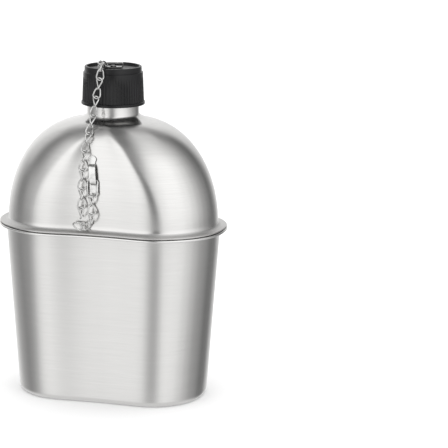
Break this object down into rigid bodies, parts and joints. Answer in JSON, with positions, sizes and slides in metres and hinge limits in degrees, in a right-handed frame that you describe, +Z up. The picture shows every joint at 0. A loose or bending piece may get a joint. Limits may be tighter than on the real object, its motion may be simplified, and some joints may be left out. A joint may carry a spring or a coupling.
{
  "type": "canteen",
  "caption": "Kidney-shaped steel canteen with a welded mid flange, a ribbed screw cap on a threaded neck, and a keeper chain from the cap's swivel to a bracket on the shoulder.",
  "frame": {"origin": "on the neck's axis, in the plane of the base, on the surface the canteen stands on", "axes": "+Z up through the neck and the cap, X along the width, -Y towards the hollow side that carries the chain"},
  "size_m": [0.1472, 0.0927, 0.216],
  "materials": {
    "brushed_steel": "satin brushed stainless steel",
    "chain_steel": "bright plated wire and strap",
    "black_plastic": "moulded satin black plastic",
    "gasket_rubber": "matt rubber"
  },
  "bodies": {
    "bottle": {"lower_shell": "brushed_steel", "upper_shell": "brushed_steel", "seam_weld": "brushed_steel", "threaded_neck": "brushed_steel", "chain_bracket": "chain_steel"},
    "swivel": {"swivel_pin": "chain_steel", "swivel_bridge": "chain_steel", "cap_link_01": "chain_steel", "cap_link_02": "chain_steel", "cap_link_03": "chain_steel"},
    "cap": {"cap_shell": "black_plastic", "cap_gasket": "gasket_rubber"},
    "hanging_chain": {"hang_link_01": "chain_steel", "hang_link_02": "chain_steel", "hang_link_03": "chain_steel", "hang_link_04": "chain_steel", "hang_link_05": "chain_steel", "hang_link_06": "chain_steel", "hang_link_07": "chain_steel", "hang_link_08": "chain_steel", "hang_link_09": "chain_steel", "hang_link_10": "chain_steel", "hang_link_11": "chain_steel", "hang_link_12": "chain_steel", "hang_link_13": "chain_steel", "hang_link_14": "chain_steel", "hang_link_15": "chain_steel", "hang_link_16": "chain_steel", "hang_link_17": "chain_steel"},
    "return_chain": {"end_link": "chain_steel", "return_link_01": "chain_steel", "return_link_02": "chain_steel", "return_link_03": "chain_steel", "return_link_04": "chain_steel", "return_link_05": "chain_steel"}
  },
  "joints": [
    {"name": "cap_rise", "type": "slide", "parent": "bottle", "child": "swivel", "axis": [0, 0, 1], "range_m": [0, 0.009]},
    {"name": "cap_turn", "type": "hinge", "parent": "swivel", "child": "cap", "pos_m": [0, 0, 0.2], "axis": [0, 0, 1], "range_deg": [0, 810]},
    {"name": "chain_swing", "type": "hinge", "parent": "swivel", "child": "hanging_chain", "pos_m": [-0.0025, -0.0166, 0.2143], "axis": [-1, 0, 0], "range_deg": [0, 10]},
    {"name": "end_link_swing", "type": "hinge", "parent": "bottle", "child": "return_chain", "pos_m": [-0.0017, -0.0359, 0.1444], "axis": [-1, 0, 0], "range_deg": [0, 25]}
  ],
  "couplings": [
    {"joint": "cap_turn", "follows": "cap_rise", "rad_per_m": 1570.8},
    {"joint": "end_link_swing", "follows": "chain_swing", "ratio": 2.5}
  ]
}
